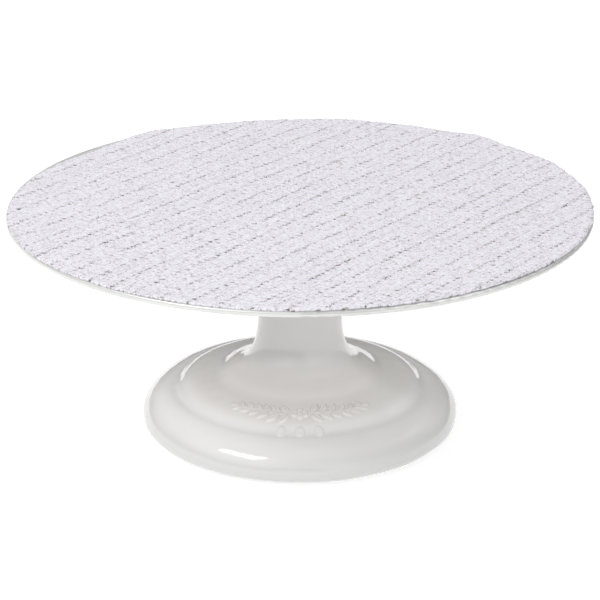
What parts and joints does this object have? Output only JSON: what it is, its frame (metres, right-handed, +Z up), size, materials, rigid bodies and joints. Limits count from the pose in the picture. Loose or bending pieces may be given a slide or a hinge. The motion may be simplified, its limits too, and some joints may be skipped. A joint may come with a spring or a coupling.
{
  "type": "cake turntable",
  "caption": "Pedestal cake turntable: a round metal plate with a loose non-slip pad spins on ball bearings in the neck of a stepped, glossy off-white enamelled casting.",
  "frame": {"origin": "centre of the pedestal at floor level, under the four rubber feet", "axes": "+Z up along the spindle; +X to the right and -Y to the front as first seen"},
  "size_m": [0.3048, 0.3048, 0.125],
  "materials": {
    "enamel": "glossy off-white enamel over cast iron",
    "foot_rubber": "matt",
    "zinc_steel": "bright zinc plated",
    "bearing_steel": "ground",
    "ball_steel": "polished",
    "cage_steel": "pressed and deburred",
    "shield_steel": "pressed",
    "machined_steel": "turned",
    "spring_steel": "phosphated dark grey",
    "black_steel": "black oxide",
    "felt": "wool felt",
    "cast_aluminium": "as cast and turned",
    "plate_aluminium": "satin, light turning marks",
    "pad_foam": "matt foamed plastic mesh, white"
  },
  "bodies": {
    "base": {"base_casting": "enamel", "foot_pads": "foot_rubber", "foot_screws": "zinc_steel", "lower_outer_ring": "bearing_steel", "lower_shields": "shield_steel", "upper_outer_ring": "bearing_steel", "upper_shields": "shield_steel", "retaining_ring": "spring_steel", "dust_seal": "felt"},
    "turntable": {"turntable_plate": "plate_aluminium", "plate_hub": "cast_aluminium", "plate_screws": "zinc_steel", "hub_set_screw": "black_steel", "spindle": "machined_steel", "spacer_tube": "machined_steel", "lower_inner_ring": "bearing_steel", "upper_inner_ring": "bearing_steel", "thrust_washer": "zinc_steel", "lock_nut": "zinc_steel"},
    "upper_ball_set": {"upper_balls": "ball_steel", "upper_cage": "cage_steel"},
    "lower_ball_set": {"lower_balls": "ball_steel", "lower_cage": "cage_steel"},
    "pad": {"non_slip_pad": "pad_foam"}
  },
  "joints": [
    {"name": "plate_spin", "type": "hinge", "parent": "base", "child": "turntable", "pos_m": [0, 0, 0.075], "axis": [0, 0, 1], "continuous": true},
    {"name": "upper_cage_spin", "type": "hinge", "parent": "base", "child": "upper_ball_set", "pos_m": [0, 0, 0.095], "axis": [0, 0, 1], "continuous": true},
    {"name": "lower_cage_spin", "type": "hinge", "parent": "base", "child": "lower_ball_set", "pos_m": [0, 0, 0.055], "axis": [0, 0, 1], "continuous": true},
    {"name": "pad_lift", "type": "slide", "parent": "turntable", "child": "pad", "axis": [0, 0, 1], "range_m": [0, 0.05]}
  ],
  "couplings": [
    {"joint": "upper_cage_spin", "follows": "plate_spin", "ratio": 0.36591},
    {"joint": "lower_cage_spin", "follows": "plate_spin", "ratio": 0.36591}
  ]
}
